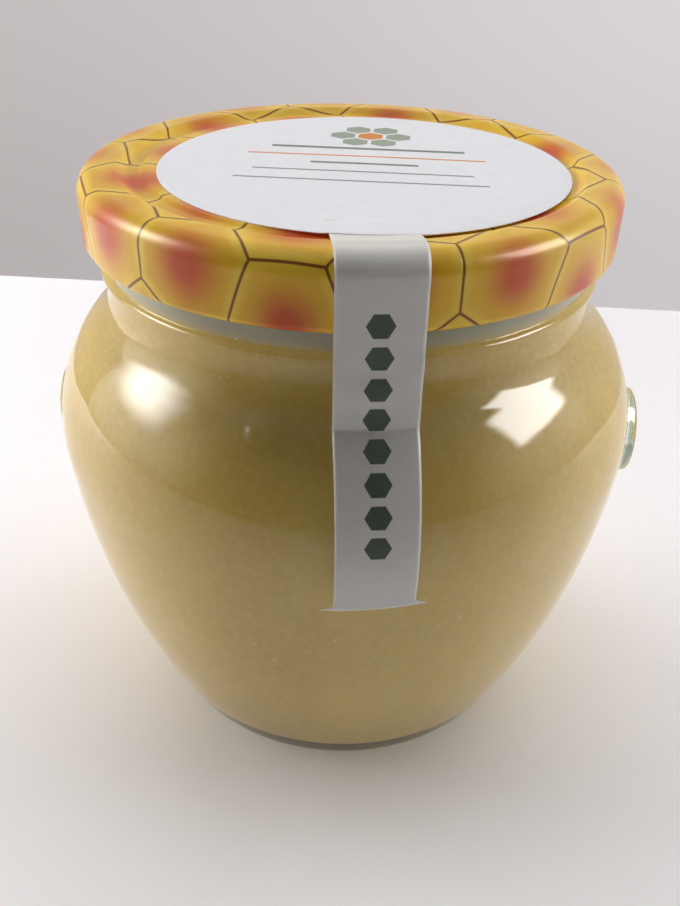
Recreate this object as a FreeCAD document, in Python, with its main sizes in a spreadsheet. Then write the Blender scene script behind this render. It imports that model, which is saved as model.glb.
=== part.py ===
"""Honey jar: a pot-bellied glass jar of set honey under a printed twist-off lid,
with a round label on the lid and a paper seal strip from the lid down to the glass.

Frame: millimetres, +Z up, origin on the jar's axis at the plane it stands on.
The two round medallions of the glass face +X and -X, and the seal strip hangs
a little to the right of the -Y side.
"""
import FreeCAD, Part
import math
import os

import Sketcher

# Driving dimensions, each with its alias in the sheet: millimetres, and degrees for turns.
SIZES = {
    # glass, outside
    "belly_radius": 47.0,
    "belly_height": 53.2,
    "shoulder_arc": 25.0,
    "side_arc": 140.8,
    "side_turn": 4.1,
    "heel_arc": 2.5,
    "throat_arc": 8.0,
    "neck_radius": 37.1,
    "neck_length": 16.1,
    "neck_bead_radius": 0.8,
    "neck_bead_rise": 2.4,
    "rim_round": 1.2,
    # glass, inside and underneath
    "wall": 3.0,
    "floor_thickness": 3.6,
    "floor_corner": 5.0,
    "base_ring": 5.4,
    "punt_depth": 1.6,
    # thread lugs, hidden under the lid
    "lug_count": 6,
    "lug_reach": 0.9,
    "lug_height": 1.6,
    "lug_drop": 4.6,
    "lug_turn": 34.0,
    # medallions on the belly
    "medal_radius": 7.0,
    "medal_drop": 3.5,
    "medal_proud": 1.6,
    "medal_rim": 1.3,
    "medal_relief": 0.6,
    "medal_cell": 3.0,
    # honey
    "fill_gap": 0.03,
    "headspace": 13.0,
    # lid
    "lid_clearance": 1.45,
    "lid_height": 9.7,
    "lid_corner": 2.7,
    "tin": 0.3,
    "curl_radius": 0.95,
    "panel_drop": 0.6,
    "panel_slope": 0.6,
    "channel_drop": 1.0,
    "channel_width": 2.0,
    "channel_slope": 1.4,
    "channel_seat": 0.2,
    # label and seal strip
    "label_margin": 0.2,
    "label_thickness": 0.25,
    "label_offset_x": 1.97,
    "label_offset_y": -1.0,
    "strip_width": 11.0,
    "strip_paper": 0.12,
    "strip_gap": 0.03,
    "strip_tuck": 4.3,
    "strip_lie": 1.3,
    "strip_turn": 9.7,
    "strip_drop": 6.7,
    "strip_tail": 2.4,
    "strip_ear": 1.7,
    "strip_ear_height": 0.9,
}

doc = FreeCAD.newDocument("honey_jar")
sheet = doc.addObject("Spreadsheet::Sheet", "Sizes")
for row, (alias, number) in enumerate(SIZES.items(), start=1):
    sheet.set(f"A{row}", alias)
    sheet.set(f"B{row}", str(number))
    sheet.setAlias(f"B{row}", alias)
doc.recompute()


class Size:
    """A number together with the sheet formula that it comes from."""

    def __init__(self, value, text):
        self.value = float(value)
        self.text = text

    @staticmethod
    def of(other):
        return other if isinstance(other, Size) else Size(other, repr(other))

    def joined(self, sign, other, value):
        return Size(value, f"({self.text} {sign} {other.text})")

    def __add__(self, other):
        other = Size.of(other)
        return self.joined("+", other, self.value + other.value)

    def __sub__(self, other):
        other = Size.of(other)
        return self.joined("-", other, self.value - other.value)

    def __mul__(self, other):
        other = Size.of(other)
        return self.joined("*", other, self.value * other.value)

    def __truediv__(self, other):
        other = Size.of(other)
        return self.joined("/", other, self.value / other.value)

    def __neg__(self):
        return Size(-self.value, f"(0 - {self.text})")


def named(alias):
    """The driving dimension with this alias."""
    return Size(getattr(sheet, alias), f"{sheet.Name}.{alias}")


def root(size):
    return Size(math.sqrt(size.value), f"sqrt({size.text})")


def sine(turn):
    return Size(math.sin(math.radians(turn.value)), f"sin({turn.text})")


def cosine(turn):
    return Size(math.cos(math.radians(turn.value)), f"cos({turn.text})")


def smaller(first, second):
    return Size(min(first.value, second.value), f"min({first.text}; {second.text})")


ZERO = Size(0.0, "0")

# Sizes that follow from the driving ones.
belly_radius = named("belly_radius")
belly_height = named("belly_height")
shoulder_arc = named("shoulder_arc")
throat_arc = named("throat_arc")
neck_radius = named("neck_radius")
wall = named("wall")
tin = named("tin")
strip_gap = named("strip_gap")
strip_turn = named("strip_turn")

shoulder_centre = belly_radius - shoulder_arc
throat_reach = neck_radius + throat_arc - shoulder_centre
throat_span = shoulder_arc + throat_arc
throat_rise = root(throat_span * throat_span - throat_reach * throat_reach)
throat_top = belly_height + throat_rise
rim_height = throat_top + named("neck_length")
honey_height = rim_height - named("headspace")
medal_face = belly_radius + named("medal_proud")
medal_height = belly_height - named("medal_drop")
lid_radius = neck_radius + named("lug_reach") + named("lid_clearance") + tin
crest_height = rim_height + tin
panel_height = crest_height - named("panel_drop")
channel_height = crest_height - named("channel_drop")
corner_height = crest_height - named("lid_corner")
curl_height = crest_height - named("lid_height") + named("curl_radius")
channel_outside = neck_radius - wall + named("channel_seat")
channel_foot = channel_outside - named("channel_slope")
channel_inside = channel_foot - named("channel_width")
panel_radius = channel_inside - named("panel_slope")
label_radius = panel_radius - named("label_margin")

# The base ring stands under the middle of the heel, where the long side arc comes down to it.
side_reach = named("side_arc") - shoulder_arc
side_centre_x = shoulder_centre - side_reach * cosine(named("side_turn"))
side_centre_y = belly_height + side_reach * sine(named("side_turn"))
heel_reach = named("side_arc") - named("heel_arc")
heel_drop = side_centre_y - named("heel_arc")
base_radius = side_centre_x + root(heel_reach * heel_reach - heel_drop * heel_drop)


def new_body(label):
    """An empty body whose label names its file."""
    body = doc.addObject("PartDesign::Body", label)
    body.Label = label
    return body


def new_sketch(body, name, plane, lift=None):
    """A sketch on one of the body's own origin planes, lifted along the plane's normal."""
    sketch = body.newObject("Sketcher::SketchObject", name)
    support = [item for item in body.Origin.OriginFeatures if item.Role == plane][0]
    sketch.AttachmentSupport = [(support, "")]
    sketch.MapMode = "FlatFace"
    if lift is not None:
        sketch.setExpression("AttachmentOffset.Base.z", lift.text)
    return sketch


def drive(sketch, kind, where, size):
    """Adds a dimension that takes its value from the sheet."""
    index = sketch.addConstraint(Sketcher.Constraint(kind, *where, size.value))
    sketch.renameConstraint(index, f"size_{index}")
    sketch.setExpression(f"Constraints.size_{index}", size.text)


def pin(sketch, where, x, y):
    """Fixes a point of the sketch at (x, y)."""
    drive(sketch, "DistanceX", where, x)
    drive(sketch, "DistanceY", where, y)


def vector(x, y):
    return FreeCAD.Vector(x.value, y.value, 0)


def circle(sketch, x, y, radius):
    """A full circle fixed at (x, y)."""
    index = sketch.addGeometry(Part.Circle(vector(x, y), FreeCAD.Vector(0, 0, 1), radius.value))
    drive(sketch, "Radius", (index,), radius)
    pin(sketch, (index, 3), x, y)


def arc_through(start, end, radius, bulge_left):
    """The shorter arc of the given radius from start to end, bulging to one side of its chord."""
    chord = end - start
    half = chord.Length / 2
    side = 1 if bulge_left else -1
    normal = FreeCAD.Vector(-chord.y, chord.x, 0).normalize() * side
    centre = start + chord * 0.5 - normal * math.sqrt(max(radius * radius - half * half, 0))
    middle = centre + normal * radius
    return Part.Arc(start, middle, end)


def outline(sketch, corners):
    """A closed outline through fixed corners: each is (x, y) for a straight side that leaves it,
    or (x, y, radius, bulge_left) for an arc that leaves it."""
    points = [vector(corner[0], corner[1]) for corner in corners]
    for number, corner in enumerate(corners):
        start = points[number]
        end = points[(number + 1) % len(points)]
        if len(corner) == 2:
            sketch.addGeometry(Part.LineSegment(start, end))
        else:
            sketch.addGeometry(arc_through(start, end, corner[2].value, corner[3]))
    # An arc that runs clockwise is stored the other way round, so its ends are looked up.
    ends = []
    for number in range(len(corners)):
        first = (sketch.getPoint(number, 1) - points[number]).Length < 1e-6
        ends.append((1, 2) if first else (2, 1))
    for number, corner in enumerate(corners):
        follower = (number + 1) % len(corners)
        joint = (number, ends[number][1], follower, ends[follower][0])
        sketch.addConstraint(Sketcher.Constraint("Coincident", *joint))
        pin(sketch, (number, ends[number][0]), corner[0], corner[1])
        if len(corner) > 2:
            drive(sketch, "Radius", (number,), corner[2])


def turned(body, kind, name, sketch, angle=None):
    """A Revolution or a Groove of the sketch about the jar's axis."""
    feature = body.newObject(kind, name)
    feature.Profile = sketch
    feature.ReferenceAxis = (sketch, ["V_Axis"])
    feature.Angle = 360.0
    if angle is not None:
        feature.setExpression("Angle", angle.text)
    return feature


def vessel_sketch(body, name, inset, floor, floor_corner, top):
    """Half of the jar's outline at a distance inside the glass's outer face, closed at the axis.

    From the floor a corner arc leads into the long side arc, which the shoulder arc takes over
    just under the belly, and a hollow throat arc ends upright in the neck. All arcs are tangent.
    """
    sketch = new_sketch(body, name, "XZ_Plane")
    side_turn = named("side_turn")
    side = named("side_arc") - inset
    shoulder = shoulder_arc - inset
    throat = throat_arc + inset
    neck = neck_radius - inset

    # Where the arcs meet, so that the solver starts from the true outline.
    lean = math.radians(side_turn.value)
    tilt = math.asin(throat_rise.value / throat_span.value)
    away = side.value - shoulder.value
    centre = shoulder_centre.value
    belly = belly_height.value
    side_x = centre - away * math.cos(lean)
    side_y = belly + away * math.sin(lean)
    corner_y = floor.value + floor_corner.value
    inner = side.value - floor_corner.value
    corner_x = side_x + math.sqrt(inner * inner - (corner_y - side_y) ** 2)
    dip = math.asin((side_y - corner_y) / inner)

    def arc(x, y, radius, start, end):
        """An anticlockwise arc about (x, y), between two turns from +X in radians."""
        ring = Part.Circle(FreeCAD.Vector(x, y, 0), FreeCAD.Vector(0, 0, 1), radius)
        return Part.ArcOfCircle(ring, start, end)

    def line(x1, y1, x2, y2):
        return Part.LineSegment(FreeCAD.Vector(x1, y1, 0), FreeCAD.Vector(x2, y2, 0))

    right = math.pi
    shapes = [
        line(0, floor.value, corner_x, floor.value),
        arc(corner_x, corner_y, floor_corner.value, -right / 2, -dip),
        arc(side_x, side_y, side.value, -dip, -lean),
        arc(centre, belly, shoulder.value, -lean, tilt),
        arc(neck.value + throat.value, throat_top.value, throat.value, right, right + tilt),
        line(neck.value, throat_top.value, neck.value, top.value),
        line(neck.value, top.value, 0, top.value),
        line(0, top.value, 0, floor.value),
    ]
    for shape in shapes:
        sketch.addGeometry(shape)
    base, corner, long_side, shoulder_part, throat_part, upright, lid_side, axis = range(8)
    for joint in ((base, 2, corner, 1), (corner, 2, long_side, 1), (long_side, 2, shoulder_part, 1),
                  (shoulder_part, 2, throat_part, 2), (throat_part, 1, upright, 1)):
        sketch.addConstraint(Sketcher.Constraint("Tangent", *joint))
    for joint in ((upright, 2, lid_side, 1), (lid_side, 2, axis, 1), (axis, 2, base, 1)):
        sketch.addConstraint(Sketcher.Constraint("Coincident", *joint))
    sketch.addConstraint(Sketcher.Constraint("Horizontal", base))
    sketch.addConstraint(Sketcher.Constraint("Horizontal", lid_side))
    sketch.addConstraint(Sketcher.Constraint("Vertical", upright))
    sketch.addConstraint(Sketcher.Constraint("PointOnObject", base, 1, -2))
    sketch.addConstraint(Sketcher.Constraint("PointOnObject", axis, 1, -2))
    drive(sketch, "Radius", (corner,), floor_corner)
    drive(sketch, "Radius", (long_side,), side)
    drive(sketch, "Radius", (shoulder_part,), shoulder)
    drive(sketch, "Radius", (throat_part,), throat)
    pin(sketch, (shoulder_part, 3), shoulder_centre, belly_height)
    drive(sketch, "DistanceY", (long_side, 2), belly_height - shoulder * sine(side_turn))
    drive(sketch, "DistanceX", (upright, 1), neck)
    drive(sketch, "DistanceY", (upright, 2), top)
    drive(sketch, "DistanceY", (base, 1), floor)
    return sketch


def make_jar_glass():
    """The jar: one piece of glass, hollow, with medallions, neck bead and thread lugs."""
    body = new_body("jar_glass")
    sketch = vessel_sketch(body, "glass_outline", ZERO, ZERO, named("heel_arc"), rim_height)
    turned(body, "PartDesign::Revolution", "glass_block", sketch)

    # The bead where the neck rises from the throat.
    sketch = new_sketch(body, "bead_outline", "XZ_Plane")
    circle(sketch, neck_radius, throat_top + named("neck_bead_rise"), named("neck_bead_radius"))
    turned(body, "PartDesign::Revolution", "neck_bead", sketch)

    # Round medallions on both ends of the X axis, each with a raised rim and a raised cell.
    medal_radius = named("medal_radius")
    sketch = new_sketch(body, "medal_disc", "YZ_Plane")
    circle(sketch, ZERO, medal_height, medal_radius)
    pad = body.newObject("PartDesign::Pad", "medals")
    pad.Profile = sketch
    pad.SideType = "Symmetric"
    pad.setExpression("Length", (medal_face * 2).text)
    sketch = new_sketch(body, "medal_field", "YZ_Plane", lift=medal_face)
    circle(sketch, ZERO, medal_height, medal_radius - named("medal_rim"))
    cell = named("medal_cell")
    corners = []
    for number in range(6):
        turn = Size(60 * number, str(60 * number))
        corners.append((cell * cosine(turn), medal_height + cell * sine(turn)))
    first = sketch.GeometryCount
    for number, (x, y) in enumerate(corners):
        end = corners[(number + 1) % 6]
        sketch.addGeometry(Part.LineSegment(vector(x, y), vector(*end)))
    for number, (x, y) in enumerate(corners):
        follower = first + (number + 1) % 6
        sketch.addConstraint(Sketcher.Constraint("Coincident", first + number, 2, follower, 1))
        pin(sketch, (first + number, 1), x, y)
    relief = body.newObject("PartDesign::Pocket", "medal_relief")
    relief.Profile = sketch
    relief.setExpression("Length", named("medal_relief").text)
    doc.recompute()
    both = body.newObject("PartDesign::Mirrored", "medal_relief_pair")
    both.Originals = [relief]
    mirror = [item for item in body.Origin.OriginFeatures if item.Role == "YZ_Plane"][0]
    both.MirrorPlane = (mirror, [""])
    body.Tip = both

    # The hollow under the base, which leaves a flat ring to stand on.
    punt_radius = base_radius - named("base_ring")
    punt_depth = named("punt_depth")
    sketch = new_sketch(body, "punt_outline", "XZ_Plane")
    dome = (punt_radius * punt_radius + punt_depth * punt_depth) / (punt_depth * 2)
    outline(sketch, [(ZERO, ZERO), (punt_radius, ZERO, dome, False), (ZERO, punt_depth)])
    turned(body, "PartDesign::Groove", "punt", sketch)

    # The inside, open at the rim.
    sketch = vessel_sketch(body, "cavity_outline", wall, named("floor_thickness"),
                           named("floor_corner"), rim_height + 1)
    turned(body, "PartDesign::Groove", "cavity", sketch)

    # Thread lugs round the neck.
    lug_top = rim_height - named("lug_drop")
    lug_low = lug_top - named("lug_height")
    lug_slope = named("lug_height") / 4
    lug_edge = neck_radius + named("lug_reach")
    neck_core = neck_radius - wall / 2
    sketch = new_sketch(body, "lug_outline", "XZ_Plane")
    outline(sketch, [(neck_core, lug_low), (neck_radius, lug_low), (lug_edge, lug_low + lug_slope),
                     (lug_edge, lug_top - lug_slope), (neck_radius, lug_top), (neck_core, lug_top)])
    lug = turned(body, "PartDesign::Revolution", "thread_lug", sketch, angle=named("lug_turn"))
    doc.recompute()
    lugs = body.newObject("PartDesign::PolarPattern", "thread_lugs")
    lugs.Originals = [lug]
    lugs.Axis = (sketch, ["V_Axis"])
    lugs.Angle = 360.0
    lugs.setExpression("Occurrences", named("lug_count").text)
    body.Tip = lugs
    doc.recompute()

    # The rim is rounded inside and outside, by no more than its wall allows.
    edges = []
    for number, edge in enumerate(lugs.Shape.Edges, start=1):
        box = edge.BoundBox
        at_rim = min(abs(box.ZMin - rim_height.value), abs(box.ZMax - rim_height.value)) < 1e-4
        if at_rim and box.ZLength < 1e-4:
            edges.append(f"Edge{number}")
    rim = body.newObject("PartDesign::Fillet", "rim_round")
    rim.Base = (lugs, edges)
    rim.setExpression("Radius", smaller(named("rim_round"), wall * 0.42).text)
    body.Tip = rim
    return body


def make_honey():
    """The honey: the inside of the jar up to its level, which lies just under the lid."""
    body = new_body("honey")
    fill_gap = named("fill_gap")
    sketch = vessel_sketch(body, "honey_outline", wall + fill_gap,
                           named("floor_thickness") + fill_gap,
                           named("floor_corner") - fill_gap, rim_height)
    turned(body, "PartDesign::Revolution", "honey_fill", sketch)
    doc.recompute()
    sketch = new_sketch(body, "honey_level", "XY_Plane", lift=honey_height)
    circle(sketch, ZERO, ZERO, belly_radius)
    level = body.newObject("PartDesign::Pocket", "headspace")
    level.Profile = sketch
    level.Reversed = True
    level.setExpression("Length", rim_height.text)
    return body


def make_lid():
    """The tinplate lid: raised panel, sealing channel, rounded shoulder, skirt and rolled curl."""
    body = new_body("lid")
    corner = named("lid_corner")
    curl = named("curl_radius")
    shift = tin * 0.4
    curl_top = curl_height + curl
    skirt_inside = lid_radius - tin
    sketch = new_sketch(body, "lid_outline", "XZ_Plane")
    outline(sketch, [
        (ZERO, panel_height),
        (panel_radius, panel_height),
        (channel_inside, channel_height),
        (channel_foot, channel_height),
        (channel_outside, crest_height),
        (lid_radius - corner, crest_height, corner, True),
        (lid_radius, corner_height),
        (lid_radius, curl_height, curl, True),
        (lid_radius - curl, curl_height - curl, curl, True),
        (lid_radius - curl * 2, curl_height, curl, True),
        (lid_radius - curl, curl_top),
        (skirt_inside, curl_top),
        (skirt_inside, corner_height, corner - tin, False),
        (lid_radius - corner, rim_height),
        (channel_outside + shift, rim_height),
        (channel_foot + shift, channel_height - tin),
        (channel_inside - shift, channel_height - tin),
        (panel_radius - shift, panel_height - tin),
        (ZERO, panel_height - tin),
    ])
    turned(body, "PartDesign::Revolution", "lid_shell", sketch)
    return body


def make_lid_label():
    """The round paper label, flat on the lid's panel and over the end of the seal strip."""
    body = new_body("lid_label")
    sketch = new_sketch(body, "label_disc", "XY_Plane", lift=panel_height)
    circle(sketch, named("label_offset_x"), named("label_offset_y"), label_radius)
    pad = body.newObject("PartDesign::Pad", "label_paper")
    pad.Profile = sketch
    pad.setExpression("Length", named("label_thickness").text)

    # Room for the tucked-in end of the strip, cut from below.
    along = sine(strip_turn)
    across = cosine(strip_turn)
    half = named("strip_width") / 2 + strip_gap
    tucked = panel_radius - named("strip_tuck") - strip_gap
    beyond = label_radius + named("label_offset_x") * 2
    sketch = new_sketch(body, "tuck_outline", "XY_Plane", lift=panel_height)
    corners = []
    for reach, side in ((tucked, -half), (tucked, half), (beyond, half), (beyond, -half)):
        corners.append((reach * along + side * across, side * along - reach * across))
    outline(sketch, corners)
    doc.recompute()
    tuck = body.newObject("PartDesign::Pocket", "tuck")
    tuck.Profile = sketch
    tuck.Reversed = True
    tuck.setExpression("Length", (named("strip_paper") + strip_gap * 2).text)
    return body


def make_seal_strip():
    """The paper strip: from under the label over the lid's shoulder, free across the neck,
    then along the glass to just under the belly, where it ends in two pointed ears.

    Its shell runs a little further down the long side arc, and its front view cuts it off."""
    corner = named("lid_corner")
    start = panel_radius - named("strip_tuck")
    side_arc = named("side_arc")
    side_turn = named("side_turn")
    tail_turn = side_turn + named("strip_tail")

    def face(gap):
        """The corners of one face of the paper, at a distance from what it lies on."""
        reach = shoulder_arc + gap
        return {
            "tucked": (start, panel_height + gap),
            "panel": (panel_radius + named("strip_lie"), panel_height + gap),
            "crest": (channel_outside, crest_height + gap),
            "corner": (lid_radius - corner, crest_height + gap),
            "skirt": (lid_radius + gap, corner_height),
            "curl": (lid_radius + gap, curl_height),
            "glass": (shoulder_centre + reach * throat_reach / throat_span,
                      belly_height + reach * throat_rise / throat_span),
            "belly": (shoulder_centre + reach * cosine(side_turn),
                      belly_height - reach * sine(side_turn)),
            "end": (side_centre_x + (side_arc + gap) * cosine(tail_turn),
                    side_centre_y - (side_arc + gap) * sine(tail_turn)),
        }

    under = face(strip_gap)
    over = face(strip_gap + named("strip_paper"))
    thick = strip_gap + named("strip_paper")
    shell = new_body("strip_shell")
    sketch = new_sketch(shell, "strip_section", "XZ_Plane")
    outline(sketch, [
        over["tucked"], over["panel"], over["crest"],
        (*over["corner"], corner + thick, True),
        over["skirt"], over["curl"],
        (*over["glass"], shoulder_arc + thick, True),
        (*over["belly"], side_arc + thick, True),
        over["end"],
        (*under["end"], side_arc + strip_gap, False),
        (*under["belly"], shoulder_arc + strip_gap, False),
        under["glass"], under["curl"],
        (*under["skirt"], corner + strip_gap, False),
        under["corner"], under["crest"], under["panel"], under["tucked"],
    ])
    turned(shell, "PartDesign::Revolution", "strip_round", sketch)

    # The strip seen from its front: straight sides, and an ear at each lower corner.
    half = named("strip_width") / 2
    ear = half + named("strip_ear")
    low = belly_height - named("strip_drop")
    top = crest_height + named("lid_corner")
    front = new_body("strip_front")
    sketch = new_sketch(front, "strip_face", "XZ_Plane")
    ear_top = low + named("strip_ear_height")
    outline(sketch, [(-half, top), (-half, ear_top), (-ear, low), (ear, low), (half, ear_top),
                     (half, top)])
    pad = front.newObject("PartDesign::Pad", "strip_depth")
    pad.Profile = sketch
    pad.setExpression("Length", (belly_radius * 2).text)
    doc.recompute()

    strip = doc.addObject("Part::MultiCommon", "seal_strip")
    strip.Label = "seal_strip"
    strip.Shapes = [shell, front]
    strip.Placement = FreeCAD.Placement(FreeCAD.Vector(), FreeCAD.Rotation(FreeCAD.Vector(0, 0, 1), 1))
    strip.setExpression("Placement.Rotation.Angle", strip_turn.text)
    return strip


parts = [make_jar_glass(), make_honey(), make_lid(), make_lid_label(), make_seal_strip()]
doc.recompute()

for item in doc.Objects:
    if "Invalid" in item.State or "Error" in item.State:
        raise RuntimeError(f"{item.Label} did not build: {item.State}")
for part in parts:
    if part.Shape.isNull() or not part.Shape.isValid() or len(part.Shape.Solids) != 1:
        raise RuntimeError(f"{part.Label} is not one valid solid")

os.makedirs("parts", exist_ok=True)
for part in parts:
    part.Shape.exportStep(f"parts/{part.Label}.step")
    box = part.Shape.BoundBox
    print(f"{part.Label}: volume {part.Shape.Volume / 1000:.2f} ml, "
          f"z {box.ZMin:.2f} to {box.ZMax:.2f}, x {box.XMin:.2f} to {box.XMax:.2f}")
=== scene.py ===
"""The honey jar: clear moulded glass with two medallions, set honey, a lid printed with
honeycomb, a round label and a paper seal strip, on a pale table between two soft side lights.

Lengths are metres in the jar's own frame: +Z up the axis, the table at zero.
"""
import math

import bpy
import numpy as np
from mathutils import Matrix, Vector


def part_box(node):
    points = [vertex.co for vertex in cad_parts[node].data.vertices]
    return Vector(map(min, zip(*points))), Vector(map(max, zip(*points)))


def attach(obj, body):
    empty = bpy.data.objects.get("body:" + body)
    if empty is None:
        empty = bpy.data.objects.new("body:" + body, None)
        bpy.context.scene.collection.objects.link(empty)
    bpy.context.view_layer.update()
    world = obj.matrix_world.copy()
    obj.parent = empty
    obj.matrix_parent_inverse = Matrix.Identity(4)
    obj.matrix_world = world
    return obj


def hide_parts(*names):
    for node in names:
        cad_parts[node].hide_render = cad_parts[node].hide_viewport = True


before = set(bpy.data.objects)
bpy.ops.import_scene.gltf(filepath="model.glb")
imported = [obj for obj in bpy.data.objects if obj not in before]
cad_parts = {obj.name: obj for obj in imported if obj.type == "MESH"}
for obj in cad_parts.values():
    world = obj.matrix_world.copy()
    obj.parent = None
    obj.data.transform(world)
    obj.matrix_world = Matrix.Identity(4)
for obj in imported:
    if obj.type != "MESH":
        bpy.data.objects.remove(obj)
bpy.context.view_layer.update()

MM = 0.001

# ---------------------------------------------------------------- sizes read from the frame
_, glass_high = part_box("jar_glass")
honey_low, honey_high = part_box("honey")
lid_low, lid_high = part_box("lid")
label_low, label_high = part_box("lid_label")
strip_low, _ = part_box("seal_strip")

BELLY = glass_high[1]
RIM = glass_high[2]
MEDAL_FACE = glass_high[0]
WALL = BELLY - honey_high[0]
HONEY_LEVEL = honey_high[2]
INSIDE_FLOOR = honey_low[2]
LID_RADIUS = lid_high[0]
CREST = lid_high[2]
SKIRT_FOOT = lid_low[2]
LABEL_X = (label_low[0] + label_high[0]) / 2
LABEL_Y = (label_low[1] + label_high[1]) / 2
LABEL_RADIUS = (label_high[0] - label_low[0]) / 2
PANEL = label_low[2]
LABEL_TOP = label_high[2]

# ---------------------------------------------------------------- sizes of the glass outline
BELLY_HEIGHT = 53.2 * MM
SHOULDER_ARC = 25.0 * MM
SIDE_ARC = 140.8 * MM
SIDE_TURN = math.radians(4.1)
HEEL_ARC = 2.5 * MM
THROAT_ARC = 8.0 * MM
NECK = 37.1 * MM
INSIDE_CORNER = 5.0 * MM
RIM_ROUND = 1.2 * MM
FILM = 0.25 * MM
FILM_RISE = 6.5 * MM
FILL_BITE = 0.15 * MM
BEAD_RADIUS = 0.8 * MM
BEAD_RISE = 2.4 * MM
PUNT_DEPTH = 1.6 * MM
RING_WIDTH = 5.4 * MM
MEDAL_RADIUS = 7.0 * MM
MEDAL_DROP = 3.5 * MM
MEDAL_RIM = 1.3 * MM
MEDAL_RELIEF = 0.6 * MM
MEDAL_CELL = 3.0 * MM
BLISTER_HEIGHT = 69.8 * MM
BLISTER_TURN = math.radians(-102.1)
BLISTER_PROUD = 0.5 * MM
BLISTER_REACH = 1.25 * MM

SHOULDER_X = BELLY - SHOULDER_ARC
SIDE_X = SHOULDER_X - (SIDE_ARC - SHOULDER_ARC) * math.cos(SIDE_TURN)
SIDE_Z = BELLY_HEIGHT + (SIDE_ARC - SHOULDER_ARC) * math.sin(SIDE_TURN)
THROAT_TILT = math.acos((NECK + THROAT_ARC - SHOULDER_X) / (SHOULDER_ARC + THROAT_ARC))
THROAT_TOP = BELLY_HEIGHT + (SHOULDER_ARC + THROAT_ARC) * math.sin(THROAT_TILT)

# ---------------------------------------------------------------- sizes of the lid and papers
TIN = 0.3 * MM
LID_CORNER = 2.7 * MM
CURL = 0.95 * MM
PANEL_RADIUS = 30.3 * MM
PANEL_SLOPE = 0.6 * MM
CHANNEL_SLOPE = 1.4 * MM
CHANNEL_DROP = 1.0 * MM
CHANNEL_EDGE = NECK - WALL + 0.2 * MM
STRIP_TURN = math.radians(9.7)
STRIP_WIDTH = 11.0 * MM
STRIP_PAPER = 0.12 * MM
STRIP_GAP = 0.03 * MM
STRIP_TUCK = 4.3 * MM
STRIP_LIE = 1.3 * MM
STRIP_END = strip_low[2]


# ================================================================ surfaces
def bend(x, z, radius, start, end, count):
    """Points of an arc about (x, z), from one turn from +X to another, in radians."""
    turn = np.linspace(start, end, count)
    return np.stack([x + radius * np.cos(turn), z + radius * np.sin(turn)], axis=1)


def run(start, end, count):
    """Points of a straight run between two points."""
    share = np.linspace(0.0, 1.0, count)[:, None]
    return np.asarray(start) * (1 - share) + np.asarray(end) * share


def chain(*stretches):
    """Stretches of a profile joined end to end, with repeated points left out."""
    line = np.concatenate(stretches)
    step = np.linalg.norm(np.diff(line, axis=0), axis=1)
    return line[np.concatenate([[True], step > 1e-7])]


def lengths(line):
    """The distance along a profile from its first point to each point."""
    step = np.linalg.norm(np.diff(line, axis=0), axis=1)
    return np.concatenate([[0.0], np.cumsum(step)])


def spread(line, positions):
    """Points of a profile at the given distances along it."""
    along = lengths(line)
    return np.stack([np.interp(positions, along, line[:, 0]),
                     np.interp(positions, along, line[:, 1])], axis=1)


def reach_at(line, height):
    """The distance along a profile to its point nearest a height."""
    return lengths(line)[np.argmin(np.abs(line[:, 1] - height))]


def ease(low, high, value):
    """0 below low, 1 above high and a smooth S between them."""
    share = np.clip((value - low) / (high - low), 0.0, 1.0)
    return share * share * (3 - 2 * share)


def steps(start, end, coarse, *windows):
    """Positions from start to end: a coarse step, and each window (centre, half, step) finer."""
    stops = [np.arange(start, end, coarse), [end]]
    for centre, half, fine in windows:
        low = max(start, centre - half)
        high = min(end, centre + half)
        stops = [np.asarray(stop)[(np.asarray(stop) < low) | (np.asarray(stop) > high)]
                 for stop in stops]
        stops.append(np.linspace(low, high, max(2, int(round((high - low) / fine)) + 1)))
    return np.unique(np.round(np.concatenate(stops), 9))


def skin(name, grid, uv=None, wrap_rows=False, wrap_columns=True):
    """A mesh object over a grid of points (rows, columns, 3).

    Each cell of the grid is one face. Rows or columns may close on themselves, and a first or
    last row whose points all coincide becomes one vertex with a fan of triangles.
    """
    rows, columns = grid.shape[:2]
    index = np.arange(rows * columns).reshape(rows, columns)
    for row in (0, rows - 1):
        if not wrap_rows and np.ptp(grid[row], axis=0).max() < 1e-9:
            index[row] = index[row, 0]
    down = np.roll(index, -1, axis=0) if wrap_rows else index[1:]
    here = index if wrap_rows else index[:-1]
    if wrap_columns:
        cells = [here, np.roll(here, -1, axis=1), np.roll(down, -1, axis=1), down]
    else:
        cells = [here[:, :-1], here[:, 1:], down[:, 1:], down[:, :-1]]
    quads = np.stack(cells, axis=-1).reshape(-1, 4)
    flat_top = quads[:, 0] == quads[:, 1]
    flat_foot = quads[:, 2] == quads[:, 3]
    faces = quads[~flat_top & ~flat_foot].tolist()
    faces += quads[flat_top][:, [0, 2, 3]].tolist()
    faces += quads[flat_foot][:, [0, 1, 2]].tolist()
    mesh = bpy.data.meshes.new(name)
    mesh.from_pydata(grid.reshape(-1, 3), [], faces)
    if uv is not None:
        layer = mesh.uv_layers.new(name="UVMap")
        corner = np.empty(len(mesh.loops), dtype=np.int32)
        mesh.loops.foreach_get("vertex_index", corner)
        layer.data.foreach_set("uv", uv.reshape(-1, 2)[corner].astype(np.float32).ravel())
    mesh.shade_smooth()
    piece = bpy.data.objects.new(name, mesh)
    bpy.context.scene.collection.objects.link(piece)
    drop_loose(mesh)
    return piece


def drop_loose(mesh):
    """Removes the unused vertices that a collapsed row leaves."""
    import bmesh
    shape = bmesh.new()
    shape.from_mesh(mesh)
    loose = [vertex for vertex in shape.verts if not vertex.link_faces]
    bmesh.ops.delete(shape, geom=loose, context="VERTS")
    shape.to_mesh(mesh)
    shape.free()


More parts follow.
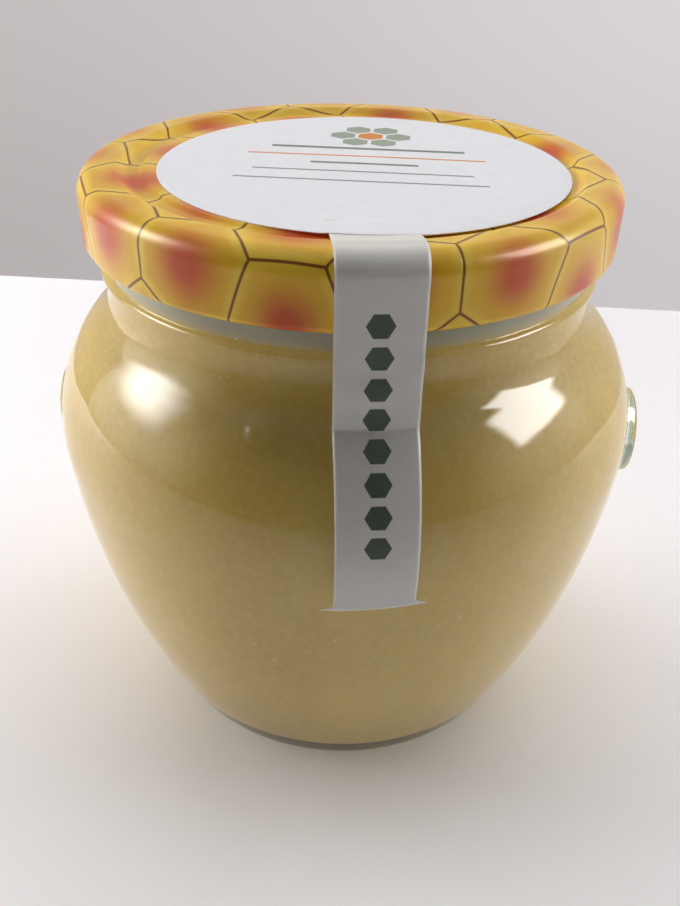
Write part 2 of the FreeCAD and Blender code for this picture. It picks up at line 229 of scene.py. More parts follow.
def turn_round(line, turns):
    """A profile of (radius, height) carried round the axis at the given turns from +X."""
    radius = line[:, 0][:, None]
    height = np.broadcast_to(line[:, 1][:, None], (len(line), len(turns)))
    return np.stack([radius * np.cos(turns), radius * np.sin(turns), height], axis=-1)


def glass_line(inset):
    """The glass's face at a distance inside its outer one, from the long side arc to the neck."""
    corner = INSIDE_CORNER if inset > 0 else HEEL_ARC
    floor = INSIDE_FLOOR if inset > 0 else 0.0
    reach = SIDE_ARC - inset - corner
    dip = math.asin((SIDE_Z - floor - corner) / reach)
    corner_x = SIDE_X + reach * math.cos(dip)
    return corner_x, floor, chain(
        bend(corner_x, floor + corner, corner, -math.pi / 2, -dip, 24),
        bend(SIDE_X, SIDE_Z, SIDE_ARC - inset, -dip, -SIDE_TURN, 60),
        bend(SHOULDER_X, BELLY_HEIGHT, SHOULDER_ARC - inset, -SIDE_TURN, THROAT_TILT, 80),
        bend(NECK + THROAT_ARC, THROAT_TOP, THROAT_ARC + inset, math.pi + THROAT_TILT, math.pi, 30))


# ================================================================ pieces
def make_glass():
    """The glass: one closed wall of revolution, outside and inside, with relief.

    The outer profile runs from the middle of the base over the heel, side, shoulder, throat,
    bead and rim, and the inner one back down. To that radius are added slow waves round the
    jar, a mould seam and a blister, and near the X axis the wall is drawn out to the medallions.
    """
    foot_x, _, outside = glass_line(0.0)
    hollow = foot_x - RING_WIDTH
    share = np.linspace(0, 1, 14)[:-1]
    dome = np.stack([hollow * share, PUNT_DEPTH * (1 - share ** 2)], axis=1)
    outer = chain(dome, run((hollow, 0.0), (foot_x, 0.0), 5), outside,
                  run((NECK, THROAT_TOP), (NECK, RIM - RIM_ROUND), 24))
    bead_height = THROAT_TOP + BEAD_RISE
    positions = steps(0.0, lengths(outer)[-1], 0.9 * MM,
                      (reach_at(outer, BELLY_HEIGHT - MEDAL_DROP), 9 * MM, 0.27 * MM),
                      (reach_at(outer, BLISTER_HEIGHT), 3 * MM, 0.27 * MM),
                      (reach_at(outer, bead_height), 1.5 * MM, 0.15 * MM))
    outer = spread(outer, positions)
    proud = np.sqrt(np.clip(BEAD_RADIUS ** 2 - (outer[:, 1] - bead_height) ** 2, 0, None))
    bead = np.where(proud > 0, NECK + proud, 0.0)
    outer[:, 0] = np.maximum(outer[:, 0], bead)
    rim = chain(bend(NECK - RIM_ROUND, RIM - RIM_ROUND, RIM_ROUND, 0, math.pi / 2, 8),
                bend(NECK - WALL + RIM_ROUND, RIM - RIM_ROUND, RIM_ROUND, math.pi / 2, math.pi, 8))
    inner_x, inner_floor, inside = glass_line(WALL)
    inner = chain(run((NECK - WALL, RIM - RIM_ROUND), (NECK - WALL, THROAT_TOP), 6),
                  inside[::-3], run((inner_x, inner_floor), (0.0, inner_floor), 6))
    line = chain(outer, rim, inner)
    is_outer = (np.arange(len(line)) < len(outer))[:, None]

    fine = math.radians(0.33)
    edge = math.radians(10.0)
    turns = steps(-math.pi, math.pi, math.radians(2.4), (0.0, edge, fine),
                  (-math.pi, edge, fine), (math.pi, edge, fine),
                  (BLISTER_TURN, math.radians(3), fine))[:-1]
    grid = turn_round(line, turns)
    height = grid[..., 2]
    waves = (0.02 * np.sin(3 * turns + 70 * height) + 0.012 * np.sin(5 * turns - 130 * height)) * MM
    seam = 0.05 * MM * np.exp(-(np.sin(turns) / 0.008) ** 2)
    body_only = ease(2 * MM, 8 * MM, height) * (1 - ease(68 * MM, 72 * MM, height))
    spot = np.hypot((turns - BLISTER_TURN) * 41 * MM, height - BLISTER_HEIGHT)
    blister = BLISTER_PROUD * np.exp(-(spot / BLISTER_REACH) ** 2)
    relief = is_outer * (body_only * (waves + seam) + blister)
    radius = np.hypot(grid[..., 0], grid[..., 1]) + relief
    grid[..., 0] = radius * np.cos(turns)
    grid[..., 1] = radius * np.sin(turns)
    grid[..., 0] = medallion(grid, is_outer)
    return skin("glass_wall", grid)


def medallion(grid, is_outer):
    """The X of each point, drawn out to a flat round medallion on both ends of the X axis.

    Inside the medallion's radius X is the face less a shallow field, whose middle rises again
    to a six-sided cell; over a narrow bank round it X falls back to the glass.
    """
    x, y, z = grid[..., 0], grid[..., 1], grid[..., 2]
    up = z - (BELLY_HEIGHT - MEDAL_DROP)
    away = np.hypot(y, up)
    cell = np.max([np.abs(y * math.sin(k) + up * math.cos(k))
                   for k in (0, math.pi / 3, 2 * math.pi / 3)], axis=0)
    bank = 0.35 * MM
    field = 1 - ease(MEDAL_RADIUS - MEDAL_RIM - bank, MEDAL_RADIUS - MEDAL_RIM + bank, away)
    rise = 1 - ease(MEDAL_CELL * 0.866 - bank, MEDAL_CELL * 0.866 + bank, cell)
    face = MEDAL_FACE - MEDAL_RELIEF * field * (1 - rise)
    crown = 0.25 * MM * ease(MEDAL_RADIUS - 0.9 * MM, MEDAL_RADIUS, away) ** 2
    inside = (1 - ease(MEDAL_RADIUS - 0.1 * MM, MEDAL_RADIUS + 0.75 * MM, away)) * is_outer
    far_out = np.abs(x) > 0.7 * BELLY
    drawn = np.abs(x) + (face - crown - np.abs(x)) * inside
    return np.where(far_out & (face > np.abs(x)), np.sign(x) * drawn, x)


def make_honey():
    """The honey: a solid of revolution that reaches just into the wall, so that no air shows.

    Its top is a low uneven swirl, and a thin film of it clings to the inside of the neck.
    """
    corner_x, floor, side = glass_line(WALL - FILL_BITE)
    floor = floor - FILL_BITE
    edge = NECK - WALL - FILM
    film_top = HONEY_LEVEL + FILM_RISE
    film = chain(run(side[-1], (NECK - WALL + FILL_BITE, film_top), 8),
                 run((NECK - WALL + FILL_BITE, film_top), (edge, film_top - 1.5 * MM), 4),
                 run((edge, film_top - 1.5 * MM), (edge, HONEY_LEVEL + 1 * MM), 6))
    share = np.linspace(1, 0, 40)
    cling = 0.8 * MM * np.exp(-(1 - share) * edge / (1.0 * MM))
    top = np.stack([edge * share, HONEY_LEVEL + cling - 0.1 * MM], axis=1)
    line = chain(run((0.0, floor), (corner_x, floor), 10), side, film, top)
    turns = np.linspace(0, 2 * math.pi, 161)[:-1]
    grid = turn_round(line, turns)
    away = np.hypot(grid[..., 0], grid[..., 1])
    is_top = (np.arange(len(line)) >= len(line) - len(share))[:, None]
    swirl = np.sin(3 * turns + away * 420) * 0.22 * MM + np.sin(7 * turns - away * 700) * 0.1 * MM
    calm = ease(0, 6 * MM, away) * (1 - ease(edge - 5 * MM, edge - 1 * MM, away))
    grid[..., 2] += is_top * swirl * calm
    drip = np.sin(4 * turns + 1) * 0.9 * MM + np.sin(9 * turns) * 0.5 * MM
    grid[..., 2] += drip * ease(film_top - 3 * MM, film_top, grid[..., 2])
    return skin("honey_fill", grid)


def lid_lines():
    """The lid's outer and inner profiles, from the middle of the panel to the inside of the curl."""
    channel = CREST - CHANNEL_DROP
    foot = CHANNEL_EDGE - CHANNEL_SLOPE
    reach = np.concatenate([np.linspace(0, PANEL_RADIUS - 1 * MM, 16),
                            np.linspace(PANEL_RADIUS - 0.8 * MM, LID_RADIUS - LID_CORNER, 54)])

    def top(shift):
        down = ease(PANEL_RADIUS - shift, PANEL_RADIUS + PANEL_SLOPE + 0.2 * MM - shift, reach)
        up = ease(foot - 0.5 * MM + shift, CHANNEL_EDGE + 0.3 * MM + shift, reach)
        return PANEL - (PANEL - channel) * down + (CREST - channel) * up

    curl_z = SKIRT_FOOT + CURL
    outer = chain(np.stack([reach, top(0.0)], axis=1),
                  bend(LID_RADIUS - LID_CORNER, CREST - LID_CORNER, LID_CORNER, math.pi / 2, 0, 16),
                  run((LID_RADIUS, CREST - LID_CORNER), (LID_RADIUS, curl_z), 12),
                  bend(LID_RADIUS - CURL, curl_z, CURL, 0, -1.5 * math.pi, 24))
    skirt_inside = LID_RADIUS - TIN
    inner = chain(run((skirt_inside, curl_z + CURL), (skirt_inside, CREST - LID_CORNER), 6),
                  bend(LID_RADIUS - LID_CORNER, CREST - LID_CORNER, LID_CORNER - TIN, 0, math.pi / 2, 8),
                  np.stack([reach, top(0.4 * TIN) - TIN], axis=1)[::-1])
    return outer, inner


def make_lid():
    """The lid: a thin closed shell of revolution.

    Its UV map is the sheet it was drawn from, in millimetres: the turn round the axis, and as
    distance from the middle the length along the profile. The inside lies past the curl.
    """
    outer, inner = lid_lines()
    line = chain(outer, inner)
    turns = np.linspace(0, 2 * math.pi, 289)[:-1]
    grid = turn_round(line, turns)
    reach = lengths(line)[:, None] / MM
    uv = np.stack([reach * np.cos(turns), reach * np.sin(turns)], axis=-1)
    return skin("lid_shell", grid[::-1], uv=uv[::-1])


def strip_line(gap):
    """The path of the strip at a distance from what it lies on, as (radius, height)."""
    start = PANEL_RADIUS - STRIP_TUCK
    corner = LID_RADIUS - LID_CORNER
    reach = SHOULDER_ARC + gap
    touch = THROAT_TILT * 0.97
    touch_point = (SHOULDER_X + reach * math.cos(touch), BELLY_HEIGHT + reach * math.sin(touch))
    curl_z = SKIRT_FOOT + CURL
    return chain(
        run((start, PANEL + gap), (PANEL_RADIUS + STRIP_LIE, PANEL + gap), 5),
        run((PANEL_RADIUS + STRIP_LIE, PANEL + gap), (CHANNEL_EDGE + 0.6 * MM, CREST + gap), 8),
        run((CHANNEL_EDGE + 0.6 * MM, CREST + gap), (corner, CREST + gap), 4),
        bend(corner, CREST - LID_CORNER, LID_CORNER + gap, math.pi / 2, 0, 12),
        run((LID_RADIUS + gap, CREST - LID_CORNER), (LID_RADIUS + gap, curl_z), 10),
        run((LID_RADIUS + gap, curl_z), touch_point, 24),
        bend(SHOULDER_X, BELLY_HEIGHT, reach, touch, -SIDE_TURN, 60),
        bend(SIDE_X, SIDE_Z, SIDE_ARC + gap, -SIDE_TURN, math.asin((STRIP_END - SIDE_Z) / SIDE_ARC), 8))


def make_strip():
    """The strip: its path along the jar times its width, a front and a back sheet of paper.

    Across, a point's sideways distance stays that of the flat strip, and its radius falls off so
    that it lies on the round of lid and glass. The last rows widen into two pointed ears.
    """
    path = strip_line(STRIP_GAP)
    total = lengths(path)[-1]
    path = spread(path, np.linspace(0, total, 150))
    tangent = np.gradient(path, axis=0)
    tangent /= np.linalg.norm(tangent, axis=1)[:, None]
    outward = np.stack([-tangent[:, 1], tangent[:, 0]], axis=1)
    across = np.linspace(-1, 1, 25)
    along = lengths(path)
    to_end = total - along
    half = STRIP_WIDTH / 2 * np.ones((len(path), 2))
    ear_length = 0.9 * MM
    half[:, 0] += 1.9 * MM * np.clip(1 - to_end / ear_length, 0, 1) ** 1.5
    half[:, 1] += 1.6 * MM * np.clip(1 - to_end / ear_length, 0, 1) ** 1.5
    width = np.where(across < 0, half[:, :1], half[:, 1:]) * across
    slant = 0.3 * MM * (across + 1) * ease(total - 12 * MM, total, along)[:, None]

    # Small buckles where the paper bridges the neck and the channel of the lid.
    free = ease(22 * MM, 26 * MM, along) * (1 - ease(31 * MM, 36 * MM, along))
    buckle = 0.12 * MM * np.sin(along * 900)[:, None] * np.cos(across * 2.2 + 0.4) * free[:, None]
    lift = 0.1 * MM * (np.abs(across) ** 6)[None, :] * free[:, None]

    def sheet(distance):
        radius = path[:, :1] + outward[:, :1] * (distance + buckle + lift)
        height = path[:, 1:] + outward[:, 1:] * (distance + buckle + lift) + slant
        side = np.broadcast_to(width, radius.shape)
        depth = np.sqrt(np.clip(radius ** 2 - side ** 2, 0, None))
        return np.stack([side, -depth, height], axis=-1)

    front = sheet(STRIP_PAPER)
    back = sheet(0.0)
    grid = np.concatenate([front, back[:, ::-1]], axis=1)
    flat = np.stack([np.broadcast_to(width, front.shape[:2]),
                     np.broadcast_to(along[:, None], front.shape[:2])], axis=-1) / MM
    uv = np.concatenate([flat, flat[:, ::-1]], axis=1)
    turned = np.array(Matrix.Rotation(STRIP_TURN, 3, "Z"))
    grid = grid @ turned.T
    ends = [grid[:1].mean(axis=1, keepdims=True), grid[-1:].mean(axis=1, keepdims=True)]
    grid = np.concatenate([np.broadcast_to(ends[0], grid[:1].shape), grid,
                           np.broadcast_to(ends[1], grid[:1].shape)])
    uv = np.concatenate([uv[:1], uv, uv[-1:]])
    return skin("strip_sheet", grid[::-1], uv=uv[::-1])


def make_label():
    """The label: a round sheet of paper, a grid of rings, top and underside.

    Its height has slow shallow waves, a ridge over the tucked-in strip, and a slight droop where
    it reaches past the lid's panel.
    """
    thick = LABEL_TOP - PANEL
    rings = np.concatenate([np.linspace(0, LABEL_RADIUS - 1 * MM, 30),
                            np.linspace(LABEL_RADIUS - 0.8 * MM, LABEL_RADIUS, 6)])
    line = np.concatenate([np.stack([rings, np.full(len(rings), LABEL_TOP)], axis=1),
                           np.stack([rings, np.full(len(rings), PANEL + 0.02 * MM)], axis=1)[::-1]])
    turns = np.linspace(0, 2 * math.pi, 241)[:-1]
    grid = turn_round(line, turns)
    grid[..., 0] += LABEL_X
    grid[..., 1] += LABEL_Y
    x, y = grid[..., 0], grid[..., 1]
    waves = 0.025 * MM * (np.sin(x * 160 + 1) * np.cos(y * 190) - 1)
    side = x * math.cos(STRIP_TURN) + y * math.sin(STRIP_TURN)
    reach = x * math.sin(STRIP_TURN) - y * math.cos(STRIP_TURN)
    over = (ease(PANEL_RADIUS - STRIP_TUCK - 0.4 * MM, PANEL_RADIUS - STRIP_TUCK, reach)
            * (1 - ease(STRIP_WIDTH / 2, STRIP_WIDTH / 2 + 0.4 * MM, np.abs(side))))
    past = ease(PANEL_RADIUS, PANEL_RADIUS + 2 * MM, np.hypot(x, y))
    is_top = (np.arange(len(line)) < len(rings))[:, None]
    paper = 0.1 * MM
    grid[..., 2] = PANEL + thick + waves - 0.12 * MM * (1 - over) - 0.1 * MM * past
    grid[..., 2] -= np.where(is_top, 0.0, paper)
    return skin("label_disc", grid[::-1])


# ================================================================ finishes
class Paint:
    """Adds nodes to one tree. A value is a number, a colour, a vector or a node's output."""

    def __init__(self, tree):
        self.tree = tree

    def feed(self, socket, value):
        if isinstance(value, bpy.types.NodeSocket):
            self.tree.links.new(value, socket)
        else:
            socket.default_value = value

    def add(self, kind, values=(), named=None, **settings):
        made = self.tree.nodes.new(kind)
        for key, value in settings.items():
            setattr(made, key, value)
        for socket, value in zip(made.inputs, values):
            self.feed(socket, value)
        for key, value in (named or {}).items():
            self.feed(made.inputs[key], value)
        return made

    def math(self, operation, *values):
        return self.add("ShaderNodeMath", values, operation=operation).outputs[0]

    def vector(self, operation, *values):
        made = self.add("ShaderNodeVectorMath", operation=operation)
        for socket, value in zip(made.inputs, values):
            self.feed(socket, value)
        return made.outputs["Value" if operation in ("LENGTH", "DOT_PRODUCT") else "Vector"]

    def split(self, value):
        made = self.add("ShaderNodeSeparateXYZ", (value,))
        return made.outputs[0], made.outputs[1], made.outputs[2]

    def join(self, x, y, z):
        return self.add("ShaderNodeCombineXYZ", (x, y, z)).outputs[0]

    def ease(self, value, low, high):
        """0 at low, 1 at high, smooth between; low may be above high."""
        made = self.add("ShaderNodeMapRange", interpolation_type="SMOOTHSTEP", named={
            "Value": value, "From Min": low, "From Max": high, "To Min": 0.0, "To Max": 1.0})
        return made.outputs["Result"]

    def mix(self, share, first, second):
        made = self.add("ShaderNodeMix", data_type="RGBA")
        self.feed(made.inputs["Factor"], share)
        self.feed(made.inputs[6], first)
        self.feed(made.inputs[7], second)
        return made.outputs[2]

    def noise(self, where, scale, detail=2.0, roughness=0.5):
        made = self.add("ShaderNodeTexNoise", named={
            "Vector": where, "Scale": scale, "Detail": detail, "Roughness": roughness})
        return made.outputs["Fac"]

    def group(self, tree, **named):
        made = self.add("ShaderNodeGroup", node_tree=tree)
        for key, value in named.items():
            self.feed(made.inputs[key.replace("_", " ")], value)
        return made.outputs

    def bump(self, height, distance, strength=1.0):
        made = self.add("ShaderNodeBump", named={
            "Height": height, "Distance": distance, "Strength": strength})
        return made.outputs["Normal"]


def tint(red, green, blue):
    """A colour given as screen values from 0 to 255, turned into light values."""
    share = np.array([red, green, blue]) / 255
    light = np.where(share > 0.04045, ((share + 0.055) / 1.055) ** 2.4, share / 12.92)
    return (*[float(value) for value in light], 1.0)


def new_group(name, inputs, outputs):
    """A node group with named inputs {name: start value} and named outputs."""
    tree = bpy.data.node_groups.new(name, "ShaderNodeTree")
    kinds = {float: "NodeSocketFloat", tuple: "NodeSocketVector"}
    for key, value in inputs.items():
        socket = tree.interface.new_socket(key, in_out="INPUT", socket_type=kinds[type(value)])
        socket.default_value = value
    for key in outputs:
        tree.interface.new_socket(key, in_out="OUTPUT", socket_type="NodeSocketFloat")
    paint = Paint(tree)
    entry = paint.add("NodeGroupInput").outputs
    leave = paint.add("NodeGroupOutput").inputs
    return tree, paint, entry, leave


def honeycomb_group():
    """Six-sided cells with the side as their unit: distance from the edge and from the middle.

    The middles lie on two oblong lattices, root three by three, one in the other's gaps. Reach
    is how far a cell's own middle lies from the pattern's middle.
    """
    tree, paint, entry, leave = new_group(
        "honeycomb", {"Vector": (0.0, 0.0, 0.0), "Side": 1.0}, ("Edge", "Middle", "Reach"))
    width, depth = math.sqrt(3), 3.0
    flat = paint.vector("MULTIPLY", entry["Vector"], (1.0, 1.0, 0.0))
    where = paint.vector("DIVIDE", flat, paint.join(entry["Side"], entry["Side"], 1.0))
    high, low = (width / 2, depth / 2, 1.0), (-width / 2, -depth / 2, -1.0)
    first = paint.vector("WRAP", where, high, low)
    second = paint.vector("WRAP", paint.vector("ADD", where, (width / 2, depth / 2, 0.0)), high, low)
    nearer = paint.math("LESS_THAN", paint.vector("LENGTH", second), paint.vector("LENGTH", first))
    turn = paint.join(nearer, nearer, nearer)
    gap = paint.vector("SUBTRACT", second, first)
    cell = paint.vector("ADD", first, paint.vector("MULTIPLY", gap, turn))
    across, along, _ = paint.split(paint.vector("ABSOLUTE", cell))
    slant = paint.math("MULTIPLY_ADD", along, width / 2, paint.math("MULTIPLY", across, 0.5))
    out = paint.math("MAXIMUM", across, slant)
    paint.feed(leave["Edge"], paint.math("SUBTRACT", width / 2, out))
    paint.feed(leave["Middle"], paint.vector("LENGTH", cell))
    paint.feed(leave["Reach"], paint.vector("LENGTH", paint.vector("SUBTRACT", where, cell)))
    return tree


def paper_group():
    """Paper fibre: a faint cloudy tone from 0 to 1, and a height of fine felted fibre."""
    tree, paint, entry, leave = new_group(
        "paper_fibre", {"Vector": (0.0, 0.0, 0.0), "Grain": 1.0}, ("Tone", "Height"))
    where = entry["Vector"]
    cloud = paint.noise(where, paint.math("MULTIPLY", entry["Grain"], 0.5), 3.0)
    fibre = paint.noise(where, paint.math("MULTIPLY", entry["Grain"], 5.0), 4.0, 0.65)
    paint.feed(leave["Tone"], paint.math("MULTIPLY_ADD", cloud, 0.6, paint.math("MULTIPLY", fibre, 0.4)))
    paint.feed(leave["Height"], fibre)
    return tree


def marks_group():
    """Handling: smears and fine dust as a mask, and the slow unevenness of a moulded surface."""
    tree, paint, entry, leave = new_group(
        "handling_marks", {"Vector": (0.0, 0.0, 0.0), "Scale": 1.0}, ("Smear", "Dust", "Height"))
    where = paint.vector("SCALE", entry["Vector"])
    scaler = where.node
    paint.feed(scaler.inputs["Scale"], entry["Scale"])
    smear = paint.noise(where, 60.0, 4.0, 0.6)
    paint.feed(leave["Smear"], paint.ease(smear, 0.45, 0.75))
    dust = paint.add("ShaderNodeTexVoronoi", named={"Vector": where, "Scale": 450.0})
    fleck = paint.ease(dust.outputs["Distance"], 0.12, 0.05)
    spare = paint.ease(paint.noise(where, 150.0, 1.0), 0.56, 0.66)
    paint.feed(leave["Dust"], paint.math("MULTIPLY", fleck, spare))
    paint.feed(leave["Height"], paint.noise(where, 90.0, 1.0))
    return tree


def new_material(name):
    """A material's paint, its Principled shader's inputs and its output."""
    made = bpy.data.materials.new(name)
    made.use_nodes = True
    made.node_tree.nodes.clear()
    paint = Paint(made.node_tree)
    shader = paint.add("ShaderNodeBsdfPrincipled")
    leave = paint.add("ShaderNodeOutputMaterial")
    made.node_tree.links.new(shader.outputs[0], leave.inputs["Surface"])
    return made, paint, shader, leave


def clear_glass(marks):
    """Clear glass. Light on its way to what is inside passes it straight, so it casts no shade."""
    made, paint, shader, leave = new_material("clear_glass")
    where = paint.add("ShaderNodeTexCoord").outputs["Object"]
    worn = paint.group(marks, Vector=where, Scale=1.0)
    shader.inputs["Transmission Weight"].default_value = 1.0
    shader.inputs["IOR"].default_value = 1.5
    clean = (0.975, 0.99, 0.985, 1.0)
    across, _, _ = paint.split(paint.vector("ABSOLUTE", where))
    thick = paint.ease(across, BELLY - 0.2 * MM, BELLY + 0.4 * MM)
    colour = paint.mix(thick, clean, (0.4, 0.52, 0.42, 1.0))
    paint.feed(shader.inputs["Base Color"], paint.mix(worn["Dust"], colour, (0.75, 0.76, 0.75, 1.0)))
    smear = paint.math("MULTIPLY_ADD", worn["Smear"], 0.035, 0.015)
    paint.feed(shader.inputs["Roughness"], paint.math("MULTIPLY_ADD", worn["Dust"], 0.3, smear))
    paint.feed(shader.inputs["Normal"], paint.bump(worn["Height"], 0.00012, 0.6))
    ray = paint.add("ShaderNodeLightPath").outputs
    straight = paint.math("MAXIMUM", ray["Is Shadow Ray"], ray["Is Diffuse Ray"])
    through = paint.add("ShaderNodeBsdfTransparent", ((0.94, 0.96, 0.95, 1.0),))
    both = paint.add("ShaderNodeMixShader", (straight, shader.outputs[0], through.outputs[0]))
    made.node_tree.links.new(both.outputs[0], leave.inputs["Surface"])
    return made


def set_honey():
    """Cloudy set honey: warm pale gold with slow streaks, light sinking a little way in."""
    made, paint, shader, leave = new_material("set_honey")
    where = paint.add("ShaderNodeTexCoord").outputs["Object"]
    drawn = paint.add("ShaderNodeMapping", named={"Vector": where, "Scale": (1.0, 1.0, 0.5)})
    cloud = paint.noise(drawn.outputs["Vector"], 38.0, 3.0, 0.55)
    grain = paint.noise(where, 900.0, 3.0, 0.7)
    tone = paint.mix(paint.ease(cloud, 0.3, 0.7), tint(200, 168, 82), tint(214, 184, 100))
    fine = paint.math("MULTIPLY", paint.ease(grain, 0.35, 0.75), 0.25)
    body = paint.mix(fine, tone, tint(230, 210, 150))
    _, _, height = paint.split(where)
    film = paint.ease(height, HONEY_LEVEL - 1.5 * MM, HONEY_LEVEL + 0.5 * MM)
    paint.feed(shader.inputs["Base Color"], paint.mix(film, body, tint(180, 170, 138)))
    shader.inputs["Subsurface Weight"].default_value = 0.5
    shader.inputs["Subsurface Radius"].default_value = (1.0, 0.62, 0.25)
    shader.inputs["Subsurface Scale"].default_value = 0.006
    shader.inputs["Specular IOR Level"].default_value = 0.12
    paint.feed(shader.inputs["Roughness"], paint.math("MULTIPLY_ADD", cloud, 0.15, 0.25))
    paint.feed(shader.inputs["Normal"], paint.bump(grain, 0.00004, 0.4))
    return made


def printed_lid(honeycomb, marks, inside_from):
    """Lacquered tin: gold cells with a warm red glow in the middle and brown walls between."""
    made, paint, shader, leave = new_material("printed_lid")
    sheet = paint.add("ShaderNodeUVMap", uv_map="UVMap").outputs["UV"]
    turned = paint.add("ShaderNodeMapping", vector_type="POINT", named={
        "Vector": sheet, "Location": PRINT_OFFSET, "Rotation": (0.0, 0.0, PRINT_TURN)})
    cells = paint.group(honeycomb, Vector=turned.outputs["Vector"], Side=PRINT_SIDE)
    where = paint.add("ShaderNodeTexCoord").outputs["Object"]
    drift = paint.noise(where, 70.0, 2.0)
    middle = paint.math("ADD", cells["Middle"], paint.math("MULTIPLY_ADD", drift, 0.3, -0.15))
    gold = paint.mix(paint.ease(drift, 0.3, 0.7), tint(222, 170, 22), tint(232, 184, 34))
    glow = paint.mix(paint.ease(middle, 0.75, 0.1), gold, tint(202, 82, 22))
    pale = paint.mix(paint.ease(cells["Edge"], 0.2, 0.06), glow, tint(236, 196, 58))
    line = paint.ease(cells["Edge"], 0.03, 0.012)
    print_colour = paint.mix(line, pale, tint(134, 76, 16))
    reach = paint.vector("LENGTH", sheet)
    inside = paint.ease(reach, inside_from - 0.5, inside_from + 0.5)
    paint.feed(shader.inputs["Base Color"], paint.mix(inside, print_colour, tint(205, 198, 178)))
    worn = paint.group(marks, Vector=where, Scale=1.0)
    paint.feed(shader.inputs["Roughness"], paint.math("MULTIPLY_ADD", worn["Smear"], 0.12, 0.3))
    shader.inputs["Specular IOR Level"].default_value = 0.3
    shader.inputs["Coat Weight"].default_value = 0.22
    shader.inputs["Coat Roughness"].default_value = 0.12
    height = paint.math("MULTIPLY_ADD", line, -0.5, worn["Height"])
    paint.feed(shader.inputs["Normal"], paint.bump(height, 0.0001, 0.5))
    return made


def label_paper(honeycomb, fibre):
    """White paper with a plain device: a small patch of grey-green cells and plain bars."""
    made, paint, shader, leave = new_material("label_paper")
    where = paint.add("ShaderNodeTexCoord").outputs["Object"]
    centred = paint.add("ShaderNodeMapping", vector_type="POINT", named={
        "Vector": where, "Location": (-LABEL_X, -LABEL_Y, 0.0)})
    x, y, _ = paint.split(centred.outputs["Vector"])
    felt = paint.group(fibre, Vector=where, Grain=1000.0)
    paper = paint.mix(felt["Tone"], tint(226, 226, 230), tint(240, 240, 244))
    ink = tint(112, 122, 110)
    warm = tint(214, 132, 56)
    centre = paint.vector("SUBTRACT", centred.outputs["Vector"], (0.0, 17.0 * MM, 0.0))
    cells = paint.group(honeycomb, Vector=centre, Side=2.6 * MM)
    rosette = paint.math("MULTIPLY", paint.ease(cells["Edge"], 0.08, 0.14),
                         paint.ease(cells["Reach"], 1.9, 1.8))
    petal = paint.mix(paint.ease(cells["Reach"], 0.5, 1.5), warm, tint(150, 160, 142))
    colour = paint.mix(rosette, paper, petal)
    for height, half, thick, shade in ((9.0, 15.0, 0.55, ink), (4.6, 18.0, 0.3, warm),
                                       (0.6, 8.0, 0.45, ink), (-3.6, 16.0, 0.25, ink),
                                       (-8.2, 18.0, 0.25, ink)):
        bar = box_mask(paint, x, y, (0.0, height), (half, thick), MM)
        colour = paint.mix(bar, colour, shade)
    paint.feed(shader.inputs["Base Color"], colour)
    shader.inputs["Roughness"].default_value = 0.55
    paint.feed(shader.inputs["Normal"], paint.bump(felt["Height"], 0.00003, 0.5))
    return made


def box_mask(paint, x, y, centre, half, unit):
    """1 inside an oblong given by its middle and half sizes, 0 outside, with a thin soft edge."""
    beyond = []
    for value, middle, reach in zip((x, y), centre, half):
        away = paint.math("ABSOLUTE", paint.math("SUBTRACT", value, middle * unit))
        beyond.append(paint.math("SUBTRACT", away, reach * unit))
    soft = 0.08 * unit
    return paint.ease(paint.math("MAXIMUM", *beyond), soft, -soft)


def strip_paper(fibre):
    """White paper with a single row of small dark green six-sided spots down its middle."""
    made, paint, shader, leave = new_material("strip_paper")
    sheet = paint.add("ShaderNodeUVMap", uv_map="UVMap").outputs["UV"]
    x, y, _ = paint.split(sheet)
    felt = paint.group(fibre, Vector=sheet, Grain=1.0)
    paper = paint.mix(felt["Tone"], tint(207, 204, 198), tint(225, 222, 215))
    across = paint.math("ABSOLUTE", x)
    along = paint.math("ABSOLUTE", paint.math("WRAP", y, 2.1, -2.1))
    slant = paint.math("MULTIPLY_ADD", across, math.sqrt(3) / 2, paint.math("MULTIPLY", along, 0.5))
    spot = paint.ease(paint.math("MAXIMUM", along, slant), 1.62, 1.5)
    row = paint.math("MULTIPLY", spot, box_mask(paint, x, y, (0.0, 35.7), (3.0, 16.8), 1.0))
    colour = paint.mix(row, paper, tint(62, 78, 58))
    paint.feed(shader.inputs["Base Color"], colour)
    shader.inputs["Roughness"].default_value = 0.5
    paint.feed(shader.inputs["Normal"], paint.bump(felt["Height"], 0.00003, 0.5))
    return made


